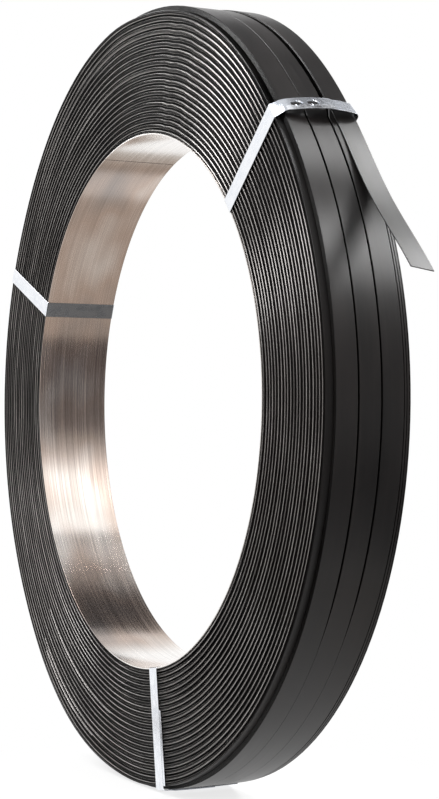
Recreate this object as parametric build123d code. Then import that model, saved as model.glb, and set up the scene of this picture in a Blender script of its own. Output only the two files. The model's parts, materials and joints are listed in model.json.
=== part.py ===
from build123d import *
import math
import os

# Roll of steel strapping, standing on its rim.
# The coil's axis is Y, its front end faces -Y, and the origin is the centre of the bore at mid-width.
# Lengths are in millimetres. Angles are measured about the axis, from +X towards +Z.

# Coil
bore_radius = 203.2
wound_depth = 89.0
coil_width = 61.0

# Strap that the coil is wound from
strap_width = 15.9
strap_thickness = 0.8

# Rings of turns that show on both ends, with a V between each ring and the next
ring_count = 7
ring_groove_width = 2.0
ring_groove_depth = 3.2

# Bands of strap that show side by side round the rim, with a lower turn showing beyond each side
band_inset = 5.3
band_gap = 1.3
band_gap_depth = 0.9
front_ledge_drop = 4.0
back_ledge_drop = 0.8

# Loose stretch between the upper tie and the left, where the outer turns stand off the round
loose_width = 40.0
loose_lift = 7.2
loose_step = 0.1
loose_root = 1.2
loose_top_angle = 75.0
loose_fall_angle = 105.0
loose_end_angle = 150.0
loose_skew_share = 0.75
loose_stations = 10

# Last turn, which lies on the loose stretch and then on the rim
last_turn_back_inset = 1.2
last_turn_seat = 0.1
last_turn_end_angle = 250.0
last_turn_end_share = 0.25

# Free end of the strap, which runs straight on from under the upper tie
tail_length = 152.0
tail_slant = 3.8

# Core ring, a strip of bare sheet steel bent round inside the coil
core_wall = 0.8
core_seam_gap = 0.6
core_seam_angle = 106.5

# Ties, each a loop of flat steel round the coil's section, its ends lapped and locked on the rim
tie_width = 12.7
tie_thickness = 0.5
tie_bend_clearance = 0.6
upper_tie_angle = 40.0
left_tie_angle = 155.5
bottom_tie_angle = -82.0
upper_tie_front_rise = -0.4
upper_tie_back_rise = 3.5
upper_tie_arch = 4.8
left_tie_front_rise = 0.5
left_tie_back_rise = 1.4
left_tie_arch = 2.6
bottom_tie_front_rise = 0.1
bottom_tie_back_rise = 0.3
bottom_tie_arch = 0.6

# Lap of a tie's two ends, with the pair of punched keys that lock them
lap_length = 33.0
lap_offset = -5.0
key_length = 8.0
key_width = 3.8
key_spacing = 12.0
key_offset = -9.5
key_tongue_share = 0.6
key_tongue_angle = 22.0
bottom_key_tongue_angle = 0.0

# One overrun that every cut runs past its solid by
cut_overrun = 2.0

# Sizes worked out from those above
half_width = coil_width / 2
coil_bore = bore_radius + core_wall
coil_radius = coil_bore + wound_depth
ledge_radius = coil_radius - front_ledge_drop
last_turn_back = half_width - last_turn_back_inset
last_turn_inside = coil_radius - last_turn_seat


def at_angle(radius, degrees):
    """A point in the coil's own plane, as (x, z)."""
    angle = math.radians(degrees)
    return radius * math.cos(angle), radius * math.sin(angle)


def end_points(face, outward):
    """Profile points of one end, from the bore out to the rim, with a V between the rings."""
    land = (ledge_radius - coil_bore - (ring_count - 1) * ring_groove_width) / ring_count
    points = [(coil_bore, face)]
    for ring in range(1, ring_count):
        radius = coil_bore + ring * land + (ring - 0.5) * ring_groove_width
        points.append((radius - ring_groove_width / 2, face))
        points.append((radius, face - outward * ring_groove_depth))
        points.append((radius + ring_groove_width / 2, face))
    return points


def rim_points():
    """Profile points of the rim, from the front end to the back, with its three bands."""
    floor = coil_radius - band_gap_depth
    shelf = coil_radius - back_ledge_drop
    start = band_inset - half_width
    points = [(ledge_radius, -half_width), (ledge_radius, start), (coil_radius, start)]
    for band in range(2):
        end = start + strap_width
        start = end + band_gap
        points += [(coil_radius, end), (floor, (end + start) / 2), (coil_radius, start)]
    end = start + strap_width
    points += [(coil_radius, end), (shelf, end), (shelf, half_width)]
    return points


def wound_body():
    """The turned body of the coil: bore, ringed ends and banded rim."""
    front = end_points(-half_width, -1)
    back = end_points(half_width, 1)
    outline = front + rim_points() + back[::-1]
    profile = make_face(Polyline(*outline, close=True))
    return revolve(profile, axis=Axis.Y)


def lift_at(degrees):
    """How far the loose turns stand off the round at an angle."""
    rise = (degrees - upper_tie_angle) / (loose_top_angle - upper_tie_angle)
    fall = (degrees - loose_fall_angle) / (loose_end_angle - loose_fall_angle)
    risen = math.sin(math.pi / 2 * min(rise, 1) ** loose_skew_share) ** 2
    return loose_lift * risen * math.cos(math.pi / 2 * max(fall, 0)) ** 2


def loose_points(level):
    """Points along the top of the loose stretch, over one level, from the upper tie on."""
    points = []
    for station in range(loose_stations + 1):
        degrees = upper_tie_angle + (loose_end_angle - upper_tie_angle) * station / loose_stations
        points.append(at_angle(level + lift_at(degrees), degrees))
    return points


def arc_at(radius, start_degrees, end_degrees):
    """An arc about the axis, from one angle to another."""
    middle = at_angle(radius, (start_degrees + end_degrees) / 2)
    return ThreePointArc(at_angle(radius, start_degrees), middle, at_angle(radius, end_degrees))


def across_rim(outline, start, end):
    """The solid of an outline in the coil's plane, from one place across the rim to another."""
    section = Plane((0, end, 0), x_dir=(1, 0, 0), z_dir=(0, -1, 0)) * make_face(outline)
    return extrude(section, amount=end - start)


def loose_layer(level, start, end):
    """Turns that stand off one level of the rim, as one solid, from one place across it to another."""
    top = loose_points(level + loose_step)
    root = arc_at(level - loose_root, loose_end_angle, upper_tie_angle)
    outline = [Spline(*top), Line(top[-1], root @ 0), root, Line(root @ 1, top[0])]
    return across_rim(outline, start, end)


def last_turn():
    """The last turn, with the straight free end that it runs out into."""
    top = loose_points(last_turn_inside + strap_thickness)
    inside = arc_at(last_turn_inside, upper_tie_angle, last_turn_end_angle)
    end_rise = strap_thickness * last_turn_end_share
    end_middle = (loose_end_angle + last_turn_end_angle) / 2
    outer_end = at_angle(last_turn_inside + end_rise, last_turn_end_angle)
    outer_middle = at_angle(last_turn_inside + (strap_thickness + end_rise) / 2, end_middle)
    along = Vector(*at_angle(tail_length, upper_tie_angle - 90))
    inner_tip = inside @ 0 + along
    outer_tip = Vector(*top[0]) + along
    outline = [
        Line(inner_tip, inside @ 0),
        inside,
        Line(inside @ 1, outer_end),
        ThreePointArc(outer_end, outer_middle, top[-1]),
        Spline(*top[::-1]),
        Line(top[0], outer_tip),
        Line(outer_tip, inner_tip),
    ]
    return across_rim(outline, last_turn_back - strap_width, last_turn_back) - tip_cut(outer_tip)


def tip_cut(tip):
    """What a slanted shear takes off the free end's tip, given its outer edge in the coil's plane."""
    along = at_angle(1, upper_tie_angle - 90)
    away = at_angle(1, upper_tie_angle)
    flat = Plane((tip.X, last_turn_back, tip.Y), x_dir=(along[0], 0, along[1]), z_dir=(away[0], 0, away[1]))
    corner = make_face(
        Polyline(
            (0, 0),
            (-tail_slant, -strap_width),
            (-tail_slant, -strap_width - cut_overrun),
            (cut_overrun, -strap_width - cut_overrun),
            (cut_overrun, 0),
            close=True,
        )
    )
    return extrude(flat * corner, amount=strap_thickness + cut_overrun, both=True)


def strap_coil():
    """The wound strap: the turned body fused with its loose turns, last turn and free end."""
    band_front = band_inset - half_width
    ledge = loose_layer(ledge_radius, -half_width, band_front)
    bands = loose_layer(coil_radius, band_front, loose_width - half_width)
    return wound_body() + ledge + bands + last_turn()


def core_ring():
    """The ring that lines the bore, with the butt seam where the strip's ends meet."""
    ring = Cylinder(coil_bore, coil_width) - Cylinder(bore_radius, coil_width + cut_overrun)
    seam = Pos(X=(bore_radius + coil_bore) / 2) * Box(
        core_wall + cut_overrun, core_seam_gap, coil_width + cut_overrun
    )
    ring -= Rot(Z=-core_seam_angle) * seam
    return Rot(X=-90) * ring


def key_slot(offset_along, rise):
    """One punched slot through a tie's lap, as a solid that runs right through it."""
    slot = Box(tie_thickness + 2 * cut_overrun, key_length, key_width)
    return Pos(coil_radius + rise, offset_along, 0) * slot


def key_tongue(offset_along, rise, angle):
    """The tongue that is bent up out of one slot, hinged at the slot's back end."""
    length = key_length * key_tongue_share
    tongue = Pos(0, -length / 2, 0) * Box(tie_thickness, length, key_width)
    hinge = Pos(coil_radius + rise, offset_along + key_length / 2, 0)
    return hinge * Rot(Z=-angle) * tongue


def tie(angle, front_rise, arch, back_rise, tongue_angle):
    """One tie: flat steel across the bore, both ends and the rim, with its lap and locking keys."""
    inner_run = math.sqrt(bore_radius**2 - (tie_width / 2) ** 2)
    front = (coil_radius + front_rise, -half_width)
    back = (coil_radius + back_rise, half_width)
    peak = (coil_radius + arch, 0)
    inside = make_face(
        [
            Polyline(front, (inner_run, -half_width), (inner_run, half_width), back),
            ThreePointArc(back, peak, front),
        ]
    )
    for corner, height in ((front, front_rise + front_ledge_drop), (back, back_rise + back_ledge_drop)):
        nearest = inside.vertices().sort_by_distance(corner)[0]
        inside = fillet(nearest, height - tie_bend_clearance)
    under = offset(inside, amount=tie_thickness, kind=Kind.ARC)
    over = offset(inside, amount=2 * tie_thickness, kind=Kind.ARC)
    reach = Pos(coil_radius, lap_offset) * Rectangle(wound_depth, lap_length)
    strip = (under - inside) + ((over - under) & reach)
    loop = extrude(strip, amount=tie_width / 2, both=True)
    for side in (-1, 1):
        along = key_offset + side * key_spacing / 2
        share = along / half_width
        lean = (back_rise - front_rise) / 2 * share
        sag = (arch - (back_rise + front_rise) / 2) * share**2
        rise = arch + lean - sag + tie_thickness
        loop -= key_slot(along, rise)
        loop += key_tongue(along, rise + tie_thickness / 2, tongue_angle)
    return Rot(Y=-angle) * loop


os.makedirs("parts", exist_ok=True)
pieces = {
    "strap_coil": strap_coil(),
    "core_ring": core_ring(),
    "tie_upper": tie(
        upper_tie_angle, upper_tie_front_rise, upper_tie_arch, upper_tie_back_rise, key_tongue_angle
    ),
    "tie_left": tie(left_tie_angle, left_tie_front_rise, left_tie_arch, left_tie_back_rise, key_tongue_angle),
    "tie_bottom": tie(
        bottom_tie_angle,
        bottom_tie_front_rise,
        bottom_tie_arch,
        bottom_tie_back_rise,
        bottom_key_tongue_angle,
    ),
}
for node, piece in pieces.items():
    export_step(piece, f"parts/{node}.step")
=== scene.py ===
"""Looks of a roll of steel strapping: the wound strap, its core ring, its ties and the studio."""
import json
import logging
import math
import random
from dataclasses import dataclass, field
from enum import Enum, IntEnum

import bmesh
import bpy
from bmesh.types import BMEdge, BMesh, BMFace, BMLayerItem, BMVert
from bpy.types import Material, Node, NodeSocket, NodeTree, Object
from mathutils import Matrix, Vector


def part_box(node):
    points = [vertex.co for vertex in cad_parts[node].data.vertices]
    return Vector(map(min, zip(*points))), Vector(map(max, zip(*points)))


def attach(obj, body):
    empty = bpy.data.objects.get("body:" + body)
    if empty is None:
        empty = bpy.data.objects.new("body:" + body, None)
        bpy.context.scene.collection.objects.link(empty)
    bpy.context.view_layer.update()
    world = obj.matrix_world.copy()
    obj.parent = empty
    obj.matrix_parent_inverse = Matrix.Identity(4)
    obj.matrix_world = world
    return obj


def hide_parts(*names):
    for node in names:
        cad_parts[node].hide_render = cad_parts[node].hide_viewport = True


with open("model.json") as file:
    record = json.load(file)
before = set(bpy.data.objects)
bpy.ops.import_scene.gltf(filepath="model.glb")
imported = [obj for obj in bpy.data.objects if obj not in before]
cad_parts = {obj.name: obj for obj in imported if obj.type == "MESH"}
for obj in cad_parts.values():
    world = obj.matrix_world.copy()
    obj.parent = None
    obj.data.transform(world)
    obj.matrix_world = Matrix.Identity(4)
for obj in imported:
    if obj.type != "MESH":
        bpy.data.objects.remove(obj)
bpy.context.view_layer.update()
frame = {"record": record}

log = logging.getLogger("strapping")

Pair = tuple[float, float]
Triple = tuple[float, float, float]

MM = 0.001
BODY = "root"

# A quarter turn, by which a shader spreads its light across the rolling lines that run round the axis
ACROSS = 0.25

# The sockets of a range node, in order
RANGE = ("From Min", "From Max", "To Min", "To Max")

# A square with sides of one, which strips' sections and flags are scaled from
SQUARE = {"x_segments": 1, "y_segments": 1, "size": 0.5}

# What the lamps on the rim's side face
RIM_SPOT = (0.27, 0.03, 0.12)

# The rim's profile beyond the front ledge. Each point has its run from the front end and its depth from
# the rim, first on the lower arc and then on the upper arc between two ties, in mm
RIM_PROFILE = (
    (5.5, 0.0, 5.5, 0.0), (5.8, 0.0, 5.8, 0.0), (20.7, 0.0, 23.6, 0.0), (20.98, 0.0, 23.95, 0.0),
    (21.2, 0.22, 24.12, 0.2), (21.22, 3.4, 24.16, 0.7), (22.48, 3.4, 24.22, 0.7), (22.5, 0.22, 24.26, 0.2),
    (22.72, 0.0, 24.43, 0.0), (23.0, 0.0, 24.7, 0.0), (37.9, 0.0, 39.4, 0.0), (38.18, 0.0, 39.7, 0.0),
    (38.4, 0.22, 39.9, 0.2), (38.41, 1.0, 39.92, 0.8), (38.42, 1.2, 40.8, 0.8), (38.43, 3.4, 40.9, 3.6),
    (39.68, 3.4, 43.7, 3.6), (39.7, 0.22, 43.75, 0.22), (39.92, 0.0, 43.95, 0.0), (40.2, 0.0, 44.3, 0.0),
    (55.1, 0.0, 55.1, 0.0), (55.38, 0.0, 55.4, 0.0), (55.6, 0.22, 55.6, 0.02), (55.62, 2.2, 55.8, 0.04),
    (56.15, 2.2, 56.2, 0.04), (56.2, 0.3, 56.3, 0.04), (56.4, 0.12, 56.5, 0.04), (57.5, 0.12, 57.5, 0.04),
    (57.65, 0.32, 57.7, 0.04), (57.7, 1.7, 57.8, 0.04), (58.2, 1.7, 58.2, 0.04), (58.25, 0.5, 58.3, 0.04),
    (58.4, 0.34, 58.4, 0.04), (59.6, 0.34, 59.6, 0.04), (59.75, 0.5, 59.75, 0.3), (59.8, 1.9, 59.8, 1.9),
    (60.2, 1.9, 60.2, 1.9), (60.25, 0.7, 60.25, 0.7), (60.4, 0.55, 60.4, 0.55), (60.8, 0.55, 60.8, 0.55),
    (61.0, 0.8, 61.0, 0.8),
)


class Slot(Enum):
    """The record's material slots."""

    STRAP = "strap_black"
    CORE = "core_steel"
    TIE = "tie_steel"


class StrapSide(IntEnum):
    """The order of the winding's finishes."""

    FLAT = 0
    EDGE = 1
    CORNER = 2


class TieZone(IntEnum):
    """The order of a tie's finishes."""

    ENDS = 0
    RIM = 1
    BORE = 2


def linear(hex_colour: str) -> tuple[float, float, float, float]:
    """Turns an sRGB hex colour into linear light.

    Args:
        hex_colour: the colour as "#rrggbb".

    Returns:
        Linear red, green, blue and an alpha of one.
    """
    channels = [int(hex_colour[i : i + 2], 16) / 255 for i in (1, 3, 5)]
    light = [c / 12.92 if c <= 0.04045 else ((c + 0.055) / 1.055) ** 2.4 for c in channels]
    return (*light, 1.0)


def smooth_step(value: float, start: float, end: float) -> float:
    """Goes from 0 at start to 1 at end, level at both."""
    share = min(max((value - start) / (end - start), 0.0), 1.0)
    return share * share * (3 - 2 * share)


def way_out(degrees: float) -> Vector:
    """The way straight out from the axis at an angle, from +X towards +Z."""
    angle = math.radians(degrees)
    return Vector((math.cos(angle), 0, math.sin(angle)))


# Shader parts


def add_node(
    tree: NodeTree, kind: str, values: dict | None = None, links: dict | None = None,
    stops: list[tuple[float, str]] | None = None, **settings: object,
) -> Node:
    """Adds one shader node with its settings, values and links.

    Args:
        tree: its node tree.
        kind: its type, after "ShaderNode".
        values: sockets, by name or number, with their values.
        links: sockets with the outputs that feed them, or with nodes for their first output.
        stops: places and hex colours, for a colour ramp.
        **settings: the node's own properties.

    Returns:
        The new node.
    """
    node = tree.nodes.new("ShaderNode" + kind)
    for name, value in settings.items():
        setattr(node, name, value)
    for socket, value in (values or {}).items():
        node.inputs[socket].default_value = value
    for socket, source in (links or {}).items():
        output = source.outputs[0] if isinstance(source, Node) else source
        tree.links.new(output, node.inputs[socket])
    if stops:
        elements = node.color_ramp.elements
        while len(elements) < len(stops):
            elements.new(1.0)
        for element, (place, colour) in zip(elements, stops):
            element.position = place
            element.color = linear(colour)
    return node


def new_material(name: str) -> tuple[Material, NodeTree]:
    """Makes an empty node material.

    Args:
        name: the material's name.

    Returns:
        The material and its node tree.
    """
    material = bpy.data.materials.new(name)
    material.use_nodes = True
    material.node_tree.nodes.clear()
    return material, material.node_tree


def streaks(tree: NodeTree, where: NodeSocket, sizes: Triple, detail: float = 3.0) -> NodeSocket:
    """Noise whose grains have a given size each way.

    Args:
        tree: the node tree.
        where: the vector that the noise reads, in metres.
        sizes: the grain's length along each axis, in metres.
        detail: how many finer layers it has.

    Returns:
        The noise value, from 0 to 1.
    """
    scale = {1: tuple(1 / size for size in sizes)}
    scaled = add_node(tree, "VectorMath", scale, {0: where}, operation="MULTIPLY")
    grain = {"Scale": 1.0, "Detail": detail, "Roughness": 0.55}
    return add_node(tree, "TexNoise", grain, {"Vector": scaled}).outputs[0]


@dataclass(frozen=True)
class Finish:
    """What the roll's finishes share: a name, a bump, and the round that their pattern follows."""

    name: str = "finish"
    bump: float = 0.0
    bump_distance: float = 0.03 * MM
    seam_degrees: float = -82.0
    radius: float = 293.0 * MM

    def round_the_axis(self, tree: NodeTree) -> NodeSocket:
        """Gives a point as its run round the coil's axis, its place along the axis and its radius.

        Args:
            tree: the node tree.

        Returns:
            A vector output in metres, whose run jumps back at the seam's angle.
        """
        place = add_node(tree, "TexCoord").outputs["Object"]
        turn = {"Axis": (0, 1, 0), "Angle": math.radians(self.seam_degrees - 180)}
        turned = add_node(tree, "VectorRotate", turn, {"Vector": place}, rotation_type="AXIS_ANGLE")
        parts = add_node(tree, "SeparateXYZ", None, {0: turned}).outputs
        angle = add_node(tree, "Math", None, {0: parts["Z"], 1: parts["X"]}, operation="ARCTAN2")
        run = add_node(tree, "Math", {1: self.radius}, {0: angle}, operation="MULTIPLY")
        flat = add_node(tree, "VectorMath", {1: (1, 0, 1)}, {0: turned}, operation="MULTIPLY")
        out = add_node(tree, "VectorMath", None, {0: flat}, operation="LENGTH").outputs["Value"]
        return add_node(tree, "CombineXYZ", None, {"X": run, "Y": parts["Y"], "Z": out}).outputs[0]

    def surface(
        self, material: Material, values: dict, colour: Node, pattern: NodeSocket | Node,
        gloss: tuple[float, ...], height: NodeSocket | None = None, rolled: bool = False,
    ) -> Material:
        """Ends a material in its one surface.

        Args:
            material: the material, with its pattern made.
            values: the surface's plain values.
            colour: what feeds its colour.
            pattern: what feeds its roughness.
            gloss: from and to what value the pattern goes, and from and to what roughness.
            height: what feeds its bump, if it has one.
            rolled: whether its light spreads across rolling lines that run round the axis.

        Returns:
            The material.
        """
        tree = material.node_tree
        rough = add_node(tree, "MapRange", dict(zip(RANGE, gloss)), {"Value": pattern})
        links = {"Base Color": colour, "Roughness": rough}
        if height is not None:
            depth = {"Strength": self.bump, "Distance": self.bump_distance}
            links["Normal"] = add_node(tree, "Bump", depth, {"Height": height})
        if rolled:
            values = values | {"Anisotropic Rotation": ACROSS}
            links["Tangent"] = add_node(tree, "Tangent", direction_type="RADIAL", axis="Y")
        add_node(tree, "OutputMaterial", None, {0: add_node(tree, "BsdfPrincipled", values, links)})
        return material


@dataclass(frozen=True)
class StrapLacquer(Finish):
    """Black stoving lacquer on cold-rolled strap: a deep black that shines softly along the rolled flat."""

    name: str = "black_stoved_lacquer"
    bump: float = 0.15
    dark: str = "#070606"
    light: str = "#151110"
    roughness_low: float = 0.32
    roughness_high: float = 0.40
    anisotropy: float = 0.85
    specular: float = 0.34
    streak_length: float = 160 * MM
    streak_width: float = 1.1 * MM
    streak_share: float = 0.6
    cloud: float = 45 * MM

    def build(self) -> Material:
        """Makes the lacquer, with rolling streaks that run the strap's way and faint clouds of handling.

        Returns:
            The material.
        """
        material, tree = new_material(self.name)
        where = self.round_the_axis(tree)
        fine = streaks(tree, where, (self.streak_length, self.streak_width, self.cloud))
        cloud = streaks(tree, where, (self.cloud * 2, self.cloud / 3, self.cloud), 4.0)
        both = add_node(tree, "Math", {1: self.streak_share}, {0: fine, 2: cloud}, operation="MULTIPLY_ADD")
        colour = add_node(tree, "ValToRGB", None, {0: both}, [(0.45, self.dark), (1.0, self.light)])
        values = {"Specular IOR Level": self.specular, "Anisotropic": self.anisotropy}
        gloss = (0.5, 1.1, self.roughness_low, self.roughness_high)
        return self.surface(material, values, colour, both, gloss, fine, rolled=True)


@dataclass(frozen=True)
class SlitEdge(Finish):
    """The strap's slit edges under thin lacquer: hard and glossy. A lighter copy on the corners gives each
    turn a fine bright line, which is painted highlight.
    """

    name: str = "lacquered_slit_edge"
    radius: float = 250.0 * MM
    dark: str = "#040404"
    light: str = "#141211"
    roughness: float = 0.36
    specular: float = 0.02
    metallic: float = 0.0
    streak_length: float = 70 * MM
    ring_step: float = 2.2 * MM

    def build(self) -> Material:
        """Makes the edge finish, uneven from turn to turn and along each turn.

        Returns:
            The material.
        """
        material, tree = new_material(self.name)
        grain = (self.streak_length, self.streak_length, self.ring_step)
        turns = streaks(tree, self.round_the_axis(tree), grain, 4.0)
        colour = add_node(tree, "ValToRGB", None, {0: turns}, [(0.35, self.dark), (0.75, self.light)])
        values = {"Specular IOR Level": self.specular, "Metallic": self.metallic}
        gloss = (0.3, 0.7, self.roughness * 0.7, self.roughness * 1.5)
        return self.surface(material, values, colour, turns, gloss)


@dataclass(frozen=True)
class CoreSheet(Finish):
    """Bare cold-rolled sheet: bright metal drawn round the bore, with oily warm and grey stains.

    Towards the right, from highlight_start to highlight_full, it goes over to a near-white painted
    highlight.
    """

    name: str = "bare_cold_rolled_sheet"
    bump: float = 0.1
    bump_distance: float = 0.02 * MM
    seam_degrees: float = 106.5
    radius: float = 203.2 * MM
    bright: str = "#e9e2dc"
    warm: str = "#c9b7ab"
    grey: str = "#aaa19c"
    # The near-white of the painted highlight
    highlight_white: str = "#fbf8f5"
    highlight_start: float = -72 * MM
    highlight_full: float = -38 * MM
    roughness_low: float = 0.15
    roughness_high: float = 0.23
    anisotropy: float = 0.5
    streak_length: float = 240 * MM
    streak_width: float = 0.9 * MM
    stain: float = 110 * MM

    def build(self) -> Material:
        """Makes the sheet, brushed round the bore, with warm and grey stains that fade into each other.

        Returns:
            The material.
        """
        material, tree = new_material(self.name)
        where = self.round_the_axis(tree)
        fine = streaks(tree, where, (self.streak_length, self.streak_width, 1.0))
        stain = streaks(tree, where, (self.stain, self.stain * 0.6, 1.0), 2.0)
        stops = [(0.32, self.grey), (0.5, self.warm), (0.68, self.bright)]
        tint = add_node(tree, "ValToRGB", None, {0: stain}, stops)
        lines = add_node(tree, "MapRange", dict(zip(RANGE, (0.3, 0.7, 0.86, 1.06))), {"Value": fine})
        # Towards +X the stained colour is mixed over to near-white: a painted highlight, which shows on the
        # bore's top and bottom
        place = add_node(tree, "TexCoord").outputs["Object"]
        side = add_node(tree, "SeparateXYZ", None, {0: place}).outputs["X"]
        span = dict(zip(RANGE, (self.highlight_start, self.highlight_full, 0.0, 1.0)))
        highlight_share = add_node(tree, "MapRange", span, {"Value": side}, interpolation_type="SMOOTHSTEP")
        tone_with_painted_light = add_node(tree, "Mix", {7: linear(self.highlight_white)}, {0: highlight_share, 6: tint}, data_type="RGBA")
        colour = add_node(tree, "VectorMath", None, {0: tone_with_painted_light.outputs[2], 1: lines}, operation="MULTIPLY")
        values = {"Metallic": 1.0, "Anisotropic": self.anisotropy}
        gloss = (0.3, 0.7, self.roughness_low, self.roughness_high)
        return self.surface(material, values, colour, fine, gloss, fine, rolled=True)


@dataclass(frozen=True)
class ZincFlat(Finish):
    """Zinc-plated tie steel: a cool blue-grey metal, bright where it lies flat, with scratches along it."""

    name: str = "zinc_plated_flat"
    bump: float = 0.4
    bright: str = "#f6f8fc"
    dull: str = "#e2e6ed"
    roughness_low: float = 0.16
    roughness_high: float = 0.34
    scratch_length: float = 26 * MM
    scratch_width: float = 0.5 * MM
    scratch_share: float = 0.8
    spangle: float = 5 * MM

    def build(self) -> Material:
        """Makes the zinc, on the strip's own UV map, whose U runs along it and V across it, in metres.

        Returns:
            The material.
        """
        material, tree = new_material(self.name)
        place = add_node(tree, "UVMap", uv_map="strip").outputs[0]
        along = streaks(tree, place, (self.scratch_length, self.scratch_width, 1.0))
        spots = streaks(tree, place, (self.spangle * 1.6, self.spangle, 1.0), 2.0)
        share = {1: self.scratch_share}
        both = add_node(tree, "Math", share, {0: along, 2: spots}, operation="MULTIPLY_ADD")
        colour = add_node(tree, "ValToRGB", None, {0: both}, [(0.6, self.dull), (1.0, self.bright)])
        gloss = (0.6, 1.1, self.roughness_high, self.roughness_low)
        return self.surface(material, {"Metallic": 1.0}, colour, both, gloss, along)


# Mesh parts


def place_piece(
    name: str, bm: BMesh, finishes: list[Material], node: str, sharp_degrees: float = 35.0
) -> Object:
    """Turns a bmesh into a piece of the roll that stands for a node.

    Args:
        name: the piece's name.
        bm: the finished shape, in place. It is freed.
        finishes: the materials that its faces are numbered by.
        node: the node that it stands for.
        sharp_degrees: the angle from which an edge stays sharp.

    Returns:
        The piece.
    """
    piece = new_object(name, bm, finishes)
    piece.data.shade_smooth()
    piece.data.set_sharp_from_angle(angle=math.radians(sharp_degrees))
    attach(piece, BODY)
    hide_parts(node)
    log.info("%s: %d faces", name, len(piece.data.polygons))
    return piece


def new_object(name: str, bm: BMesh, finishes: list[Material]) -> Object:
    """Makes an object in the scene from a bmesh, at the origin.

    Args:
        name: the object's name.
        bm: its shape, in place. It is freed.
        finishes: its materials.

    Returns:
        The object.
    """
    mesh = bpy.data.meshes.new(name)
    bm.to_mesh(mesh)
    bm.free()
    for finish in finishes:
        mesh.materials.append(finish)
    item = bpy.data.objects.new(name, mesh)
    bpy.context.scene.collection.objects.link(item)
    return item


def strip_layers(bm: BMesh) -> list[BMLayerItem]:
    """The layers for each vertex's run along a strip and place across it. They come before the vertices."""
    floats = bm.verts.layers.float
    return [floats.get(name) or floats.new(name) for name in ("along", "across")]


def sweep(bm: BMesh, section: list[BMFace] | list[BMEdge], frames: list[Matrix]) -> None:
    """Draws a section from frame to frame, with each vertex's run along the strip and place across it.

    Each frame's X runs across the strip, its Y out of its face and its Z along it.

    Args:
        bm: the bmesh that the section is in.
        section: the section's one face, which also closes the far end, or its edges.
        frames: where the section stands, one frame after the other.
    """
    along, across = strip_layers(bm)
    kind = type(section[0])
    verts = {vert for part in section for vert in part.verts}
    for vert in verts:
        vert[across] = vert.co.x
    bmesh.ops.transform(bm, matrix=frames[0], verts=list(verts))
    run = 0.0
    for count, (before, after) in enumerate(zip(frames, frames[1:])):
        run += (after.translation - before.translation).length
        if kind is BMFace:
            grown = bmesh.ops.extrude_face_region(bm, geom=section)["geom"]
        else:
            grown = bmesh.ops.extrude_edge_only(bm, edges=section)["geom"]
        verts = {part for part in grown if isinstance(part, BMVert)}
        bmesh.ops.transform(bm, matrix=after @ before.inverted(), verts=list(verts))
        for vert in verts:
            vert[along] = run
        if kind is BMFace and count:
            bmesh.ops.delete(bm, geom=section, context="FACES_ONLY")
        section = [part for part in grown if isinstance(part, kind) and verts.issuperset(part.verts)]


def sweep_strip(bm: BMesh, width: float, thickness: float, edge: float, frames: list[Matrix]) -> None:
    """Sweeps a flat strip's section and closes both ends.

    Args:
        bm: the bmesh that the strip is added to.
        width: the strip's width.
        thickness: the strip's thickness.
        edge: how far its four long edges are rounded.
        frames: where the section stands, one frame after the other.
    """
    strip_layers(bm)
    section = bmesh.ops.create_grid(bm, **SQUARE)["verts"]
    bmesh.ops.scale(bm, vec=(width, thickness, 1), verts=section)
    corners = bmesh.ops.bevel(
        bm, geom=section, offset=edge, affect="VERTICES", segments=2, profile=0.5, material=-1
    )["verts"]
    sweep(bm, list(corners[0].link_faces), frames)


def close_strips(bm: BMesh) -> None:
    """Turns every face outwards and writes the UV map "strip": run along and place across, in metres.

    Args:
        bm: the bmesh that holds swept strips.
    """
    bmesh.ops.recalc_face_normals(bm, faces=bm.faces)
    along, across = strip_layers(bm)
    uv = bm.loops.layers.uv.new("strip")
    for face in bm.faces:
        for loop in face.loops:
            loop[uv].uv = (loop.vert[along], loop.vert[across])


def frames_along(points: list[Vector], across: list[Vector]) -> list[Matrix]:
    """Frames at each of a route's points, each looking along the route.

    Args:
        points: the route.
        across: the way across the strip at each point.

    Returns:
        One frame for each point.
    """
    frames = []
    for i, point in enumerate(points):
        z = (points[min(i + 1, len(points) - 1)] - points[max(i - 1, 0)]).normalized()
        x = (across[i] - across[i].dot(z) * z).normalized()
        turned = Matrix((x, z.cross(x), z)).transposed().to_4x4()
        frames.append(Matrix.Translation(point) @ turned)
    return frames


def sheared(start: Matrix, slope: float, shift: float = 0.0) -> Matrix:
    """A strip's first frame with its end cut aslant, by a slope and a shift along the strip."""
    return start @ Matrix(((1, 0, 0, 0), (0, 1, 0, 0), (slope, 0, 1, shift), (0, 0, 0, 1)))


# The roll's pieces


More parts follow.
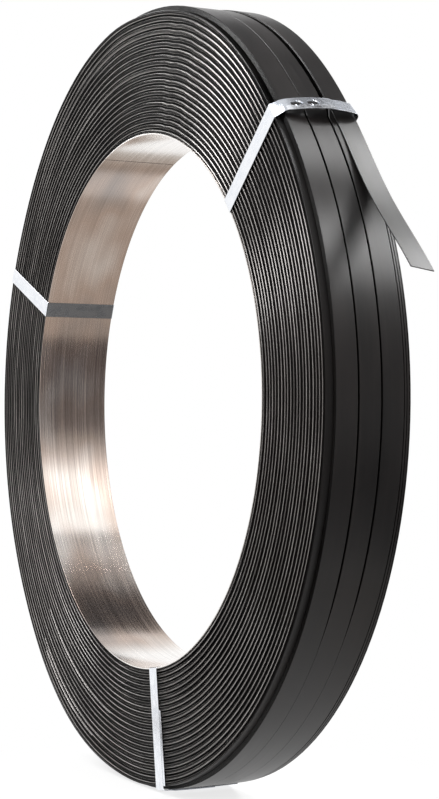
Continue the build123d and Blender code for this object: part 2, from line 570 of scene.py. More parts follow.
@dataclass(frozen=True)
class RimShape:
    """How far the rim stands off a true round, and how low the ledges lie, from angle to angle."""

    loose_lift: float = 6.2 * MM
    loose_start: float = 40.0
    loose_top: float = 75.0
    loose_fall: float = 105.0
    loose_end: float = 150.0
    loose_skew: float = 0.75
    slump: float = 3.4 * MM
    slump_start: float = -148.0
    slump_end: float = -92.0
    ledge_deep: float = 4.0 * MM
    ledge_shallow: float = 1.6 * MM
    shallow_from: Pair = (84.0, 100.0)
    shallow_to: Pair = (-95.0, -60.0)
    back_drop: float = 0.8 * MM

    def lift(self, degrees: float) -> float:
        """How far the outer turns stand off the round at an angle.

        Args:
            degrees: the angle about the axis, from +X towards +Z.

        Returns:
            The height in metres.
        """
        degrees = (degrees + 180) % 360 - 180
        if self.loose_start < degrees < self.loose_end:
            rise = (degrees - self.loose_start) / (self.loose_top - self.loose_start)
            fall = (degrees - self.loose_fall) / (self.loose_end - self.loose_fall)
            risen = math.sin(math.pi / 2 * min(rise, 1) ** self.loose_skew) ** 2
            return self.loose_lift * risen * math.cos(math.pi / 2 * max(fall, 0)) ** 2
        share = (degrees - self.slump_start) / (self.slump_end - self.slump_start)
        return self.slump * math.sin(math.pi * min(max(share, 0.0), 1.0)) ** 2

    def ledge_drop(self, degrees: float) -> float:
        """How far the front ledge lies below the rim at an angle: deep on the right, shallow on the left.

        Args:
            degrees: the angle about the axis.

        Returns:
            The depth in metres.
        """
        degrees = (degrees + 180) % 360 - 180
        shallow = max(smooth_step(degrees, *self.shallow_from), 1 - smooth_step(degrees, *self.shallow_to))
        return self.ledge_deep + (self.ledge_shallow - self.ledge_deep) * shallow


@dataclass
class Sizes:
    """Sizes that several pieces share, in metres. The width and bore come from the frame's own mount."""

    bore_mount: dict = field(default_factory=lambda: frame["record"]["mounts"][0])
    core_wall: float = 0.8 * MM
    wound_depth: float = 89.0 * MM
    strap_width: float = 15.9 * MM
    strap_thickness: float = 0.8 * MM
    upper_tie: float = 40.0
    left_tie: float = 155.5
    bottom_tie: float = -82.0
    shape: RimShape = field(default_factory=RimShape)

    @property
    def bore(self) -> float:
        """The bore's radius."""
        return self.bore_mount["dims"]["r_mm"] * MM

    @property
    def half_width(self) -> float:
        """Half of the coil's width."""
        return self.bore_mount["dims"]["length_mm"] * MM / 2

    @property
    def wound_bore(self) -> float:
        """The radius at which the winding starts."""
        return self.bore + self.core_wall

    @property
    def rim(self) -> float:
        """The radius of the rim's bands."""
        return self.wound_bore + self.wound_depth


@dataclass(frozen=True)
class Station:
    """One point of the rim's profile, in mm, on the lower arc and on the upper arc between two ties.

    Its run is measured from the front end, and its depth from the rim.
    """

    run: float
    depth: float
    top_run: float
    top_depth: float


@dataclass
class WoundStrap:
    """The winding: turns that show as rings on both ends and as three bands on the rim."""

    sizes: Sizes
    ring_count: int = 21
    turn: float = 0.84 * MM
    notch: float = 0.13 * MM
    notch_least: float = 0.6
    corner: float = 0.38 * MM
    flat_share: float = 0.86
    corner_share: float = 0.6
    end_share: float = 0.25
    inner_recess: Triple = (0.45 * MM, 0.3 * MM, 0.0)
    groove_depth: float = 3.2 * MM
    groove_spread: float = 0.5 * MM
    groove_walls: Pair = (0.06, 0.94)
    ring_recess: float = 0.35 * MM
    segments: int = 168
    seed: int = 7
    wobble_out: float = 0.07 * MM
    wobble_along: float = 0.16 * MM
    crossover_degrees: float = 76.0
    crossover_spread: float = 2.2
    crossover_step: float = 0.7 * MM
    crossover_wrap: float = 0.98
    edge_band: float = 9 * MM
    loose_root: float = 235.0 * MM
    loose_power: float = 1.4
    ledge_run: float = 5.3
    ledge_notch: float = 0.12
    gaps: tuple[Pair, ...] = ((20.9, 22.8), (38.1, 40.0))
    gap_open_degrees: float = -24.0
    gap_shut_degrees: float = -37.0
    gap_left: float = 0.12

    def land_points(self, front: bool, dice: random.Random) -> list[Pair]:
        """The profile of one end, from the bore out to the ledge.

        Args:
            front: whether it is the front end, which shows three turns to a ring.
            dice: the seeded random source.

        Returns:
            Radius and depth below the end, point by point.
        """
        shape, turn = self.sizes.shape, self.turn
        start, end = self.sizes.wound_bore, self.sizes.rim - shape.ledge_deep
        land = 3 * turn
        groove = (end - start - self.ring_count * land) / (self.ring_count - 1)
        corner = [(0.0, self.corner), (self.corner, 0.0)]
        first, second, third = self.inner_recess if front else (0.0, 0.0, 0.0)
        points = []
        radius = start
        for ring in range(self.ring_count):
            outermost = ring in (0, self.ring_count - 1)
            recess = 0.0 if outermost else self.ring_recess * dice.random()
            points += [(radius + out, recess + first + down) for out, down in corner]
            if front:
                low = max(first, second) + self.notch * (self.notch_least + dice.random())
                steps = [(1, low), (1.2, second), (1.8, second), (2, second + self.notch), (2.2, third)]
                points += [(radius + turns * turn, recess + down) for turns, down in steps]
            points += [(radius + land - out, recess + third + down) for out, down in reversed(corner)]
            if ring < self.ring_count - 1:
                depth = recess + self.groove_depth + self.groove_spread * (dice.random() - 0.5)
                points += [(radius + land + groove * share, depth) for share in self.groove_walls]
            radius += land + groove
        if not front:
            half = self.groove_depth / 2
            steps = [(0.1, half), (1, half), (1.1, self.corner), (1.5, 0.0)]
            points += [(end + turns * turn, depth) for turns, depth in steps]
            points.append((self.sizes.rim - shape.back_drop, 0.0))
        return points

    def rim_stations(self) -> list[Station]:
        """The profile of the rim, from the front end's edge to the back end's.

        Returns:
            The rim's stations, of which those of the front ledge lie the same all round.
        """
        turn = self.sizes.strap_thickness / MM
        drop = self.sizes.shape.ledge_deep / MM
        ledge = [(0.0, drop + 0.2), (0.2, drop), (self.ledge_run - 0.1, drop)]
        for step in range(round(drop / turn)):
            top = drop - step * turn
            ledge.append((self.ledge_run + self.ledge_notch, top))
            ledge += [(self.ledge_run, top - share * turn) for share in (0.2, 0.8)]
        return [Station(*point, *point) for point in ledge] + [Station(*point) for point in RIM_PROFILE]

    def build(self, finishes: list[Material]) -> Object:
        """Spins the profile round the axis and settles the turns.

        Args:
            finishes: those of the strap's flat side, its slit edges and the corners between them.

        Returns:
            The piece.
        """
        sizes = self.sizes
        dice = random.Random(self.seed)
        front = self.land_points(True, dice)
        back = self.land_points(False, dice)
        rim = self.rim_stations()
        bm = bmesh.new()
        number = bm.verts.layers.int.new("station")
        heading = way_out(sizes.upper_tie + 180 / self.segments)
        outline = [(radius, depth - sizes.half_width) for radius, depth in front]
        outline += [(sizes.rim - s.depth * MM, s.run * MM - sizes.half_width) for s in rim]
        outline += [(radius, sizes.half_width - depth) for radius, depth in reversed(back)]
        verts = []
        for count, (radius, run) in enumerate(outline):
            vert = bm.verts.new(heading * radius + Vector((0, run, 0)))
            vert[number] = count
            verts.append(vert)
        edges = [bm.edges.new((a, b)) for a, b in zip(verts, verts[1:] + verts[:1])]
        full = 2 * math.pi
        bmesh.ops.spin(
            bm, geom=verts + edges, cent=(0, 0, 0), axis=(0, 1, 0), angle=full,
            steps=self.segments, use_merge=True, use_duplicate=False,
        )
        waves = [
            (dice.uniform(0, full), dice.uniform(0, full), dice.uniform(0.5, 1.0))
            for _ in range(2 * self.ring_count + 2)
        ]
        self.settle(bm, number, outline, len(front), rim, waves)
        bmesh.ops.recalc_face_normals(bm, faces=bm.faces)
        self.number_faces(bm, number, len(front), len(front) + len(rim))
        return place_piece("wound_strap", bm, finishes, "strap_coil", 40.0)

    def number_faces(self, bm: BMesh, number: BMLayerItem, rim_start: int, rim_end: int) -> None:
        """Gives each face the flat side's, the slit edge's or the corner's finish, by the way it faces.

        Args:
            bm: the settled winding.
            number: the layer with each vertex's place in the profile.
            rim_start: the number of the rim's first station.
            rim_end: the number after its last one.
        """
        for face in bm.faces:
            facing = abs(face.normal.y)
            middle = face.calc_center_median()
            numbers = [vert[number] for vert in face.verts]
            degrees = math.degrees(math.atan2(middle.z, middle.x))
            on_ledge = all(rim_start < count < rim_start + 3 for count in numbers)
            on_ends = all(count < rim_start - 3 or count >= rim_end + 3 for count in numbers)
            # The front ledge between the upper and the left tie takes the dull edge finish: painted shade
            # of the recessed ledge, which is lacquered strap like the rim
            if facing > self.flat_share or on_ledge and self.above_ties(degrees):
                face.material_index = StrapSide.EDGE
            # Corner faces on the ends that lean between flat_share and corner_share take the lighter corner
            # copy, whose colour is painted highlight
            elif facing > self.end_share and on_ends:
                face.material_index = StrapSide.CORNER if facing > self.corner_share else StrapSide.EDGE

    def above_ties(self, degrees: float) -> bool:
        """Whether an angle is in the upper arc between two ties."""
        return self.sizes.upper_tie < degrees < self.sizes.left_tie

    def place_on_rim(self, spot: Station, degrees: float) -> Pair:
        """Where one of the rim's stations lies at an angle.

        Args:
            spot: the station.
            degrees: the angle about the axis.

        Returns:
            Radius and run from mid-width, in metres.
        """
        run, depth = spot.run, spot.depth
        if self.above_ties(degrees):
            run, depth = spot.top_run, spot.top_depth
        shape = self.sizes.shape
        if spot.run <= self.ledge_run + self.ledge_notch:
            depth *= shape.ledge_drop(degrees) / shape.ledge_deep
        shut = 0.0
        if -180 <= degrees < self.sizes.upper_tie:
            shut = smooth_step(degrees, self.gap_open_degrees, self.gap_shut_degrees)
        for start, end in self.gaps:
            if shut and start < spot.run < end:
                middle = (start + end) / 2
                run = middle + (spot.run - middle) * (1 - (1 - self.gap_left) * shut)
                depth *= 1 - shut + shut * self.gap_left
        radius = self.sizes.rim + shape.lift(degrees) - depth * MM
        return radius, run * MM - self.sizes.half_width

    def crossover(self, degrees: float) -> float:
        """How far a turn lies out of its round where it steps over to the next one and on from there.

        Args:
            degrees: the angle about the axis.

        Returns:
            The jog outwards, in metres.
        """
        behind = (degrees - self.crossover_degrees) % 360 / 360
        turned = (degrees - self.crossover_degrees + self.crossover_spread / 2) % 360
        step = smooth_step(turned, 0, self.crossover_spread) if turned < 180 else 1.0
        if behind > self.crossover_wrap:
            behind -= 1
        return self.crossover_step * (step - 0.5 - behind)

    def settle(
        self, bm: BMesh, number: BMLayerItem, outline: list[Pair], front_count: int,
        rim: list[Station], waves: list[Triple],
    ) -> None:
        """Moves the turns from true circles to where they lie.

        Args:
            bm: the spun winding.
            number: the layer with each vertex's place in the profile.
            outline: the profile's radius and run.
            front_count: how many points the front end has.
            rim: the rim's stations.
            waves: each ring's phases and size of wobble.
        """
        shape = self.sizes.shape
        low, high = self.sizes.wound_bore, self.sizes.rim - shape.ledge_deep
        pitch = (high - low) / self.ring_count
        for vert in bm.verts:
            station = vert[number]
            angle = math.atan2(vert.co.z, vert.co.x)
            degrees = math.degrees(angle)
            radius, run = outline[station]
            if front_count <= station < front_count + len(rim):
                radius, run = self.place_on_rim(rim[station - front_count], degrees)
            else:
                in_front = station < front_count
                ring = min(int((radius - low) / pitch), self.ring_count - 1)
                phase, other, size = waves[ring if in_front else ring + self.ring_count]
                inner = min(radius - low, max(high - radius, 0.0), self.edge_band) / self.edge_band
                wave = math.sin(angle + phase) + 0.5 * math.sin(3 * angle + other)
                outer = min(max((radius - self.loose_root) / (high - self.loose_root), 0.0), 1.0)
                spare = shape.ledge_deep - shape.ledge_drop(degrees) if in_front else 0.0
                radius += inner * (self.wobble_out * size * wave + self.crossover(degrees))
                radius += outer**self.loose_power * (shape.lift(degrees) + spare)
                drift = 0.5 * (1 + math.sin(angle * 2 + other)) * self.wobble_along * size
                run -= math.copysign(drift, run)
            vert.co = Vector((math.cos(angle) * radius, run, math.sin(angle) * radius))


@dataclass
class LastTurn:
    """The last turn and the free end that it runs out into, one length of strap."""

    sizes: Sizes
    tail_length: float = 152.0 * MM
    tail_slant: float = 3.8 * MM
    tail_bow: float = 3.6 * MM
    edge: float = 0.22 * MM
    seat: float = 0.1 * MM
    sunk_degrees: float = 262.0
    straight_degrees: float = 252.0
    top_run: float = 51.85 * MM
    band_run: float = 47.65 * MM
    tail_steps: int = 24
    step_degrees: float = 1.2

    def place_at(self, degrees: float) -> Vector:
        """Where the strap's middle lies at an angle round the rim.

        Args:
            degrees: the angle about the axis, on past the left up to the last turn's end.

        Returns:
            The place.
        """
        sizes, angle = self.sizes, math.radians(degrees)
        sink = smooth_step(degrees, sizes.shape.loose_end, self.sunk_degrees)
        height = sizes.shape.lift(degrees) - self.seat - sizes.strap_thickness * sink
        share = smooth_step(degrees, sizes.shape.loose_end, self.straight_degrees)
        run = self.top_run + (self.band_run - self.top_run) * share - sizes.half_width
        radius = sizes.rim + sizes.strap_thickness / 2 + height
        return Vector((math.cos(angle) * radius, run, math.sin(angle) * radius))

    def build(self, finishes: list[Material]) -> Object:
        """Sweeps the strap from the free end's tip round the rim until it lies under its own band.

        Args:
            finishes: the strap's own, and that of the free end, whose lighter colour is painted sheen.

        Returns:
            The piece.
        """
        sizes = self.sizes
        away = way_out(sizes.upper_tie - 90)
        foot = self.place_at(sizes.upper_tie)
        points = []
        for step in range(self.tail_steps):
            share = 1 - step / self.tail_steps
            bow = self.tail_bow * math.sin(math.pi * share) ** 2
            points.append(foot + away * self.tail_length * share - way_out(sizes.upper_tie) * bow)
        count = round((self.sunk_degrees - sizes.upper_tie) / self.step_degrees)
        points += [self.place_at(sizes.upper_tie + step * self.step_degrees) for step in range(count + 1)]
        frames = frames_along(points, [Vector((0, -1, 0))] * len(points))
        frames[0] = sheared(frames[0], self.tail_slant / sizes.strap_width, self.tail_slant / 2)
        bm = bmesh.new()
        sweep_strip(bm, sizes.strap_width, sizes.strap_thickness, self.edge, frames)
        close_strips(bm)
        # Faces beyond the tie, on the free end, take the lighter lacquer, whose colour is painted sheen
        for face in bm.faces:
            face.material_index = int((face.calc_center_median() - foot).dot(away) > self.edge)
        return place_piece("last_turn", bm, finishes, "strap_coil", 20.0)


@dataclass
class CoreRing:
    """The strip of bare sheet bent round inside the winding, with its butt seam."""

    sizes: Sizes
    seam_gap: float = 0.6 * MM
    seam_degrees: float = 106.5
    segments: int = 240
    edge: float = 0.12 * MM

    def build(self, finishes: list[Material]) -> Object:
        """Spins the sheet's section round the bore from one side of the seam to the other.

        Args:
            finishes: the ring's one finish.

        Returns:
            The piece.
        """
        sizes = self.sizes
        bm = bmesh.new()
        section = bmesh.ops.create_grid(bm, **SQUARE)["verts"]
        bmesh.ops.scale(bm, vec=(sizes.core_wall, 2 * sizes.half_width, 1), verts=section)
        bmesh.ops.bevel(
            bm, geom=section, offset=self.edge, affect="VERTICES", segments=2, profile=0.5, material=-1
        )
        bmesh.ops.translate(bm, vec=(sizes.bore + sizes.core_wall / 2, 0, 0), verts=bm.verts)
        half_gap = self.seam_gap / 2 / sizes.bore
        start = math.radians(self.seam_degrees) + half_gap
        bmesh.ops.rotate(bm, cent=(0, 0, 0), matrix=Matrix.Rotation(-start, 3, "Y"), verts=bm.verts)
        bmesh.ops.spin(
            bm, geom=[*bm.verts, *bm.edges, *bm.faces], cent=(0, 0, 0), axis=(0, -1, 0),
            angle=2 * (math.pi - half_gap), steps=self.segments, use_merge=False, use_duplicate=False,
        )
        bmesh.ops.recalc_face_normals(bm, faces=bm.faces)
        return place_piece("core_sheet", bm, finishes, "core_ring", 20.0)


@dataclass
class Tie:
    """A loop of flat steel round the winding's section, lapped and locked with two keys on the rim."""

    sizes: Sizes
    name: str
    degrees: float
    front_rise: float
    arch: float
    back_rise: float
    tongue_lift: float
    tilt_degrees: float = 0.0
    facet_run: float = 0.0
    free_end: float = 0.0
    free_aside: float = 2.4 * MM
    free_slant: float = -0.5
    width: float = 12.7 * MM
    thickness: float = 0.5 * MM
    edge: float = 0.12 * MM
    fold_degrees: float = 60.0
    bend_clearance: float = 0.6 * MM
    bend_step_degrees: float = 9.0
    bore_bend: float = 0.8 * MM
    facet_bend: float = 1.6 * MM
    lap_start: float = -21.5 * MM
    lap_end: float = 11.5 * MM
    lap_step: float = 4.0 * MM
    keys: tuple[float, ...] = (-15.5 * MM, -3.5 * MM)
    key_length: float = 8.0 * MM
    key_width: float = 3.8 * MM
    tongue_length: float = 4.4 * MM
    tongue_width: float = 2.3 * MM
    tongue_arc: float = 0.62
    tongue_steps: int = 7
    lifted_layers: float = 2.6
    face_step: float = 5.0 * MM
    rim_step: float = 1.2 * MM

    def rise(self, run: float) -> float:
        """How far the tie's inner side stands off the rim across it.

        Args:
            run: the place across the rim, from mid-width.

        Returns:
            The height in metres.
        """
        share = run / self.sizes.half_width
        lean = (self.back_rise - self.front_rise) / 2 * share
        sag = (self.arch - (self.back_rise + self.front_rise) / 2) * share**2
        tilted = self.width / 2 * math.sin(math.radians(self.tilt_degrees)) * (1 - share**2)
        return self.arch + lean - sag + max(tilted, 0.0)

    def above(self, run: float) -> Vector:
        """A point of the tie's middle line over the rim, as run and radius."""
        return Vector((run, self.sizes.rim + self.thickness / 2 + self.rise(run)))

    def over_rim(self, start: float, end: float) -> list[Vector]:
        """Route points over the rim, of which some are moved to the ends of the keys' slots.

        Args:
            start: the run that they go from.
            end: the run that they go to.

        Returns:
            The points as run and radius.
        """
        count = max(2, round(abs(end - start) / self.rim_step))
        runs = [start + (end - start) * i / count for i in range(count + 1)]
        low, high = min(start, end), max(start, end)
        for key in self.keys:
            for stop in (key - self.key_length / 2, key + self.key_length / 2):
                if low + self.rim_step < stop < high - self.rim_step:
                    runs[min(range(1, count), key=lambda i: abs(runs[i] - stop))] = stop
        return [self.above(run) for run in runs]

    def bend(self, before: Vector, corner: Vector, after: Vector, radius: float) -> list[Vector]:
        """Points of a round bend in a corner.

        Args:
            before: a point that the route comes from.
            corner: where its two runs would meet.
            after: a point that it goes to.
            radius: the bend's radius.

        Returns:
            The bend's points, from tangent to tangent.
        """
        arrive, leave = (before - corner).normalized(), (after - corner).normalized()
        half = arrive.angle(leave) / 2
        reach = radius / math.tan(half)
        centre = corner + (arrive + leave).normalized() * (radius / math.sin(half))
        start, end = corner + arrive * reach - centre, corner + leave * reach - centre
        turn = start.angle_signed(end)
        count = max(4, round(abs(math.degrees(turn)) / self.bend_step_degrees))
        return [centre + Matrix.Rotation(-turn * step / count, 2) @ start for step in range(count + 1)]

    def straight(self, start: Vector, end: Vector) -> list[Vector]:
        """Points between two ends of a straight run, without the ends."""
        count = max(2, round((end - start).length / self.face_step))
        return [start.lerp(end, i / count) for i in range(1, count)]

    def route(self) -> list[Vector]:
        """The tie's middle line as run and radius, from its under end round to its upper one.

        Returns:
            The route's points.
        """
        sizes, half = self.sizes, self.thickness / 2
        drop = sizes.shape.ledge_drop(self.degrees)
        side = sizes.half_width + half
        front_side = side + (self.thickness if self.free_end else 0.0)
        inner = math.sqrt(sizes.bore**2 - (self.width / 2) ** 2) - half
        front_bore, back_bore = Vector((-side, inner)), Vector((side, inner))
        front_corner = Vector((-front_side, sizes.rim + half + self.front_rise))
        back_corner = Vector((side, sizes.rim + half + self.back_rise))
        back_radius = self.back_rise + sizes.shape.back_drop - self.bend_clearance + half
        bends = [
            self.bend(self.above(side - 2 * back_radius), back_corner, back_bore, back_radius),
            self.bend(back_corner, back_bore, front_bore, self.bore_bend),
            self.bend(back_bore, front_bore, front_corner, self.bore_bend),
        ]
        if self.facet_run:
            low = Vector((-front_side, sizes.rim - drop))
            high_run = self.facet_run - sizes.half_width
            high, far = self.above(high_run), self.above(high_run + self.face_step)
            bends.append(self.bend(front_bore, low, high, self.facet_bend))
            bends.append(self.bend(low, high, far, self.facet_bend))
        else:
            radius = self.front_rise + drop - self.bend_clearance + half
            bends.append(self.bend(front_bore, front_corner, self.above(2 * radius - side), radius))
        route = self.over_rim(self.lap_start, bends[0][0].x - self.rim_step)
        for bend, after in zip(bends, bends[1:]):
            route += bend + self.straight(bend[-1], after[0])
        route += bends[-1]
        for point in self.over_rim(bends[-1][-1].x + self.rim_step, self.lap_end):
            raised = smooth_step(point.x, self.lap_start - self.lap_step, self.lap_start)
            route.append(point + Vector((0, self.thickness * raised)))
        return route

    def frames(self, route: list[Vector], aside: float = 0.0) -> list[Matrix]:
        """Stands a route of runs and radii at the tie's angle.

        Args:
            route: the route's points.
            aside: how far it is moved round the rim.

        Returns:
            A frame at each point. It tilts where the strip stands off the rim.
        """
        out, back = way_out(self.degrees), way_out(self.degrees - 90)
        places = [out * point.y + Vector((0, point.x, 0)) - back * aside for point in route]
        across = []
        for point in route:
            off_rim = smooth_step(point.y, self.sizes.rim - 2 * self.sizes.strap_thickness, self.sizes.rim)
            tilt = math.radians(self.tilt_degrees) * off_rim
            across.append(back * math.cos(tilt) + out * math.sin(tilt))
        return frames_along(places, across)

    def cut_keys(self, bm: BMesh) -> None:
        """Takes the keys' slots out of both layers of the lap.

        Args:
            bm: the bmesh that the ribbon is in.
        """
        slots = []
        across = strip_layers(bm)[1]
        for face in bm.faces:
            middle = face.calc_center_median()
            aside = sum(vert[across] for vert in face.verts) / len(face.verts)
            on_rim = math.hypot(middle.x, middle.z) > self.sizes.rim - self.sizes.strap_thickness
            in_slot = any(abs(middle.y - key) < self.key_length / 2 for key in self.keys)
            if on_rim and in_slot and abs(aside) < self.key_width / 2:
                slots.append(face)
        bmesh.ops.delete(bm, geom=slots, context="FACES_ONLY")

    def add_tongue(self, bm: BMesh, key: float) -> None:
        """Bends a key's tongue up out of its slot, from the slot's back end.

        Args:
            bm: the bmesh that the tie is in.
            key: the run of the slot's middle.
        """
        points = []
        for step in range(self.tongue_steps + 1):
            share = step / self.tongue_steps
            run = key + self.key_length / 2 - self.tongue_length * share
            arc = self.tongue_lift * math.sin(math.pi * self.tongue_arc * share)
            height = arc - self.thickness * (1 - share) + self.thickness
            points.append(self.above(run) + Vector((0, height)))
        sweep_strip(bm, self.tongue_width, self.thickness, self.edge, self.frames(points))

    def add_free_end(self, bm: BMesh) -> None:
        """Lays the free end that runs up the front face under the strip, a little aside.

        Args:
            bm: the bmesh that the tie is in.
        """
        run = -self.sizes.half_width - self.thickness / 2
        top = self.sizes.rim - self.sizes.shape.ledge_drop(self.degrees) - self.thickness
        count = round(self.free_end / self.face_step)
        points = [Vector((run, top - self.free_end * (1 - i / count))) for i in range(count + 1)]
        frames = self.frames(points, self.free_aside)
        frames[0] = sheared(frames[0], self.free_slant)
        sweep_strip(bm, self.width, self.thickness, self.edge, frames)

    def build(self, finishes: list[Material]) -> Object:
        """Sweeps the tie round the winding and cuts and bends its two locking keys.

        Args:
            finishes: its finish on the ends, and its darker copies over the rim and in the bore, which are
                painted shade.

        Returns:
            The piece.
        """
        bm = bmesh.new()
        strip_layers(bm)
        lines = [-self.width / 2, -self.key_width / 2, self.key_width / 2, self.width / 2]
        row = [bm.verts.new((line, self.thickness / 2, 0)) for line in lines]
        edges = [bm.edges.new(pair) for pair in zip(row, row[1:])]
        sweep(bm, edges, self.frames(self.route()))
        self.cut_keys(bm)
        bmesh.ops.solidify(bm, geom=list(bm.faces), thickness=self.thickness)
        folds = [edge for edge in bm.edges if edge.calc_face_angle(0.0) > math.radians(self.fold_degrees)]
        bmesh.ops.bevel(
            bm, geom=folds, offset=self.edge, affect="EDGES", segments=1, profile=0.5, material=-1
        )
        for key in self.keys:
            self.add_tongue(bm, key)
        if self.free_end:
            self.add_free_end(bm)
        close_strips(bm)
        # Faces in the bore and faces that lie on the rim take the darker copies, as painted shade; the ends
        # and the lifted parts keep the plain zinc
        for face in bm.faces:
            middle = face.calc_center_median()
            radius = math.hypot(middle.x, middle.z)
            lifted = radius - self.sizes.rim - self.rise(middle.y) > self.lifted_layers * self.thickness
            if radius < self.sizes.bore:
                face.material_index = TieZone.BORE
            elif abs(middle.y) < self.sizes.half_width - self.thickness and not lifted:
                face.material_index = TieZone.RIM
        return place_piece(self.name + "_strip", bm, finishes, self.name)


# The studio


@dataclass(frozen=True)
class Softbox:
    """One soft rectangular lamp: where it hangs, what it faces, its two sides in metres and its watts."""

    name: str
    place: Triple
    aim: Triple
    sides: Pair
    power: float

    def hang(self) -> None:
        """Hangs the lamp."""
        data = bpy.data.lights.new(self.name, "AREA")
        data.shape = "RECTANGLE"
        data.size, data.size_y = self.sides
        data.energy = self.power
        lamp = bpy.data.objects.new(self.name, data)
        turned = (Vector(self.place) - Vector(self.aim)).to_track_quat("Z", "Y").to_matrix().to_4x4()
        lamp.matrix_world = Matrix.Translation(self.place) @ turned
        lamp.visible_camera = False
        bpy.context.scene.collection.objects.link(lamp)


@dataclass(frozen=True)
class Flag:
    """A grey flag in the studio, which only the metal and the lacquer mirror.

    Its sides are its extent along each axis, one of them zero. One on the floor is placed from there.
    """

    name: str
    place: Triple
    sides: Triple
    shade: str
    top_shade: str = ""
    on_floor: bool = False
    fade: Pair = (0.25, 0.85)

    def stand(self, floor_level: float) -> None:
        """Stands the flag in the studio.

        Args:
            floor_level: the floor's height.
        """
        bm = bmesh.new()
        bmesh.ops.create_grid(bm, **SQUARE)
        for side, axis in zip(self.sides, "YX"):
            if not side:
                upright = Matrix.Rotation(math.pi / 2, 3, axis)
                bmesh.ops.rotate(bm, cent=(0, 0, 0), matrix=upright, verts=bm.verts)
        bmesh.ops.scale(bm, vec=[side or 1.0 for side in self.sides], verts=bm.verts)
        place = Vector(self.place)
        if self.on_floor:
            place.z += floor_level
        bmesh.ops.translate(bm, vec=place, verts=bm.verts)
        material, tree = new_material(self.name + "_emitting_sheet")
        where = add_node(tree, "TexCoord").outputs["Object"]
        height = add_node(tree, "SeparateXYZ", None, {0: where}).outputs["Z"]
        stops = list(zip(self.fade, (self.shade, self.top_shade or self.shade)))
        shade = add_node(tree, "ValToRGB", None, {0: height}, stops)
        glow = add_node(tree, "Emission", {"Strength": 1.0}, {"Color": shade})
        add_node(tree, "OutputMaterial", None, {0: glow})
        flag = new_object(self.name, bm, [material])
        flag.visible_camera = False
        flag.visible_diffuse = False
        flag.visible_shadow = False
        flag.visible_transmission = False


SOFTBOXES = (
    Softbox("rim_softbox", (0.36, 1.05, 1.6), (0.36, 1.05, 0.0), (0.75, 0.6), 22.0),
    Softbox("side_softbox", (0.57, 1.05, 0.67), RIM_SPOT, (0.4, 0.3), 26.0),
    Softbox("key_softbox", (0.6, -1.25, 0.85), RIM_SPOT, (0.7, 0.5), 6.5),
    Softbox("left_softbox", (-1.3, -0.05, 0.92), (0.0, 0.0, 0.25), (0.9, 0.6), 7.0),
    Softbox("front_softbox", (-0.55, -0.75, 1.25), (-0.55, -0.75, 0.0), (1.0, 0.7), 26.0),
)

FLAGS = (
    Flag("corner_flag", (0.31, -0.66, 1.2), (0.52, 0.58, 0.0), "#6f747e"),
    Flag("bore_flag", (0.065, 0.38, 0.6), (0.31, 0.36, 0.0), "#474648"),
    Flag("ceiling_flag", (-0.31, 0.55, 1.45), (1.48, 0.5, 0.0), "#474648"),
    Flag("back_flag", (-0.68, 0.925, 1.45), (1.24, 0.25, 0.0), "#474648"),
    Flag("side_flag", (1.3, 0.70, 0.31), (0.0, 0.7, 1.2), "#5c595b", "#ffffff"),
    Flag("front_flag", (0.62, -1.3, -0.1), (1.3, 0.0, 0.8), "#474544"),
    # The flags on the floor darken the floor where the metal and the lacquer mirror it, which they would
    # otherwise see white; the one behind the roll is painted shade of the floor in the roll's shadow
    Flag("far_floor_flag", (1.0, 0.5, 0.01), (1.24, 0.7, 0.0), "#5c595b", on_floor=True),
    Flag("floor_shadow_painted_sheet", (0.065, 0.28, 0.01), (0.63, 0.36, 0.0), "#c4bdb7", on_floor=True),
    Flag("left_floor_flag", (-0.61, 0.38, 0.01), (0.38, 0.4, 0.0), "#b5aca4", on_floor=True),
    Flag("near_floor_flag", (0.3, -0.55, 0.01), (1.1, 0.8, 0.0), "#474544", on_floor=True),
)


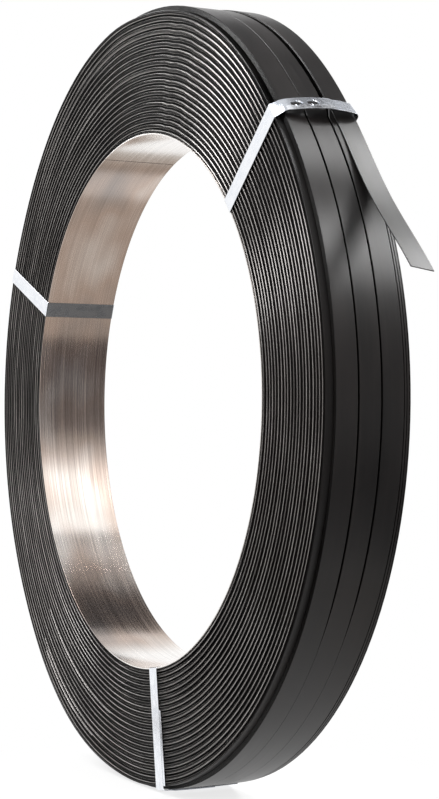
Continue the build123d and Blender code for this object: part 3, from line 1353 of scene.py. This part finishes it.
@dataclass
class Studio:
    """The plain floor, the white background, the soft lamps and the camera at the photo's angle."""

    floor_level: float
    camera_place: Triple = (1.2846, -0.6099, -0.0439)
    camera_way: Triple = (-0.89153, 0.45184, 0.03175)
    camera_roll: float = math.radians(-0.3815)
    lens: float = 82.65
    ambient: float = 0.35
    floor_radius: float = 6.0
    floor_colour: str = "#f6f6f5"
    floor_fade: Pair = (0.16, 0.36)

    def add_camera(self) -> None:
        """Stands the camera where the photo was taken from."""
        way = Vector(self.camera_way).normalized()
        right = way.cross(Vector((0, 0, 1))).normalized()
        up = right.cross(way)
        cos, sin = math.cos(self.camera_roll), math.sin(self.camera_roll)
        x, y = cos * right + sin * up, cos * up - sin * right
        data = bpy.data.cameras.new("camera")
        data.lens = self.lens
        data.sensor_width = 36.0
        data.clip_start = 0.01
        camera = bpy.data.objects.new("camera", data)
        turned = Matrix((x, y, -way)).transposed().to_4x4()
        camera.matrix_world = Matrix.Translation(self.camera_place) @ turned
        bpy.context.scene.collection.objects.link(camera)
        bpy.context.scene.camera = camera

    def seen(self, tree: NodeTree) -> Node:
        """Tells the rays that see the background: from the camera, mirrored or let through.

        Args:
            tree: the node tree.

        Returns:
            A node whose output is one for them.
        """
        path = add_node(tree, "LightPath").outputs
        summed = {"operation": "ADD", "use_clamp": True}
        some = add_node(tree, "Math", None, {0: path["Is Camera Ray"], 1: path["Is Glossy Ray"]}, **summed)
        return add_node(tree, "Math", None, {0: some, 1: path["Is Transmission Ray"]}, **summed)

    def add_world(self) -> None:
        """Makes the world white where it is seen and softer where it only lights."""
        world = bpy.data.worlds.new("studio")
        world.use_nodes = True
        tree = world.node_tree
        tree.nodes.clear()
        dim = add_node(tree, "Background", {"Color": (1, 1, 1, 1), "Strength": self.ambient})
        white = add_node(tree, "Background", {"Color": (1, 1, 1, 1), "Strength": 1.0})
        both = add_node(tree, "MixShader", None, {0: self.seen(tree), 1: dim, 2: white})
        add_node(tree, "OutputWorld", None, {0: both})
        bpy.context.scene.world = world

    def add_floor(self) -> None:
        """Lays a pale floor that keeps the roll's shadow and fades into the background."""
        bm = bmesh.new()
        bmesh.ops.create_circle(bm, cap_ends=True, segments=96, radius=self.floor_radius)
        bmesh.ops.translate(bm, vec=(0, 0, self.floor_level), verts=bm.verts)
        material, tree = new_material("pale_floor")
        place = add_node(tree, "TexCoord").outputs["Object"]
        away = add_node(tree, "VectorMath", None, {0: place}, operation="LENGTH").outputs["Value"]
        span = dict(zip(RANGE, (*self.floor_fade, 0.0, 1.0)))
        fade = add_node(tree, "MapRange", span, {"Value": away}, interpolation_type="SMOOTHSTEP")
        far = add_node(tree, "Math", None, {0: fade, 1: self.seen(tree)}, operation="MULTIPLY")
        paint = add_node(tree, "BsdfDiffuse", {"Color": linear(self.floor_colour)})
        glow = add_node(tree, "Emission", {"Color": (1, 1, 1, 1), "Strength": 1.0})
        both = add_node(tree, "MixShader", None, {0: far, 1: paint, 2: glow})
        add_node(tree, "OutputMaterial", None, {0: both})
        new_object("floor", bm, [material])

    def build(self) -> None:
        """Sets up the whole studio."""
        self.add_camera()
        self.add_world()
        self.add_floor()
        for softbox in SOFTBOXES:
            softbox.hang()
        for flag in FLAGS:
            flag.stand(self.floor_level)
        bpy.context.scene.view_settings.view_transform = "Standard"


def main() -> None:
    """Builds the roll's pieces in order, then the studio round them."""
    logging.basicConfig(level=logging.INFO, format="%(name)s %(message)s")
    sizes = Sizes()
    lacquer = StrapLacquer()
    # The free end's lacquer is lighter than the rest: painted sheen for the bright reflection along it
    tail_sheen_lacquer = StrapLacquer("tail_painted_sheen_lacquer", dark="#131211", light="#201e1d", specular=0.6)
    edge = SlitEdge()
    # The corner copy is light grey and partly metallic on edges that are lacquered black: painted
    # highlight, the fine bright line of each turn
    corner = SlitEdge(
        "edge_corner_painted_highlight", dark="#6d6967", light="#a8a4a1", roughness=0.22, specular=0.5, metallic=0.36
    )
    strap = [finish.build() for finish in (lacquer, edge, corner)]
    WoundStrap(sizes).build(strap)
    LastTurn(sizes).build([strap[StrapSide.FLAT], tail_sheen_lacquer.build()])
    CoreRing(sizes).build([CoreSheet().build()])
    # The ties' zinc in three copies: the plain one for the ends, a darker one over the rim and a much
    # darker one in the bore; the darker two are painted shade
    plate = ZincFlat(
        "zinc_over_rim_painted_shade", bright="#cfd3da", dull="#b4b8c0", roughness_low=0.24, roughness_high=0.33
    )
    tone_with_painted_light = ZincFlat("zinc_in_bore_painted_shade", bright="#808387", dull="#696c70")
    zinc = [finish.build() for finish in (ZincFlat(), plate, tone_with_painted_light)]
    ties = (
        Tie(sizes, "tie_upper", sizes.upper_tie, -0.4 * MM, 4.8 * MM, 3.5 * MM, 1.9 * MM, 8.0, 5.6 * MM),
        Tie(sizes, "tie_left", sizes.left_tie, 0.5 * MM, 2.6 * MM, 1.4 * MM, 1.9 * MM),
        Tie(sizes, "tie_bottom", sizes.bottom_tie, 0.1 * MM, 0.6 * MM, 0.3 * MM, 0.0, free_end=58 * MM),
    )
    for tie in ties:
        tie.build(zinc)
    Studio(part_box("strap_coil")[0].z).build()


if __name__ == "__main__":
    main()
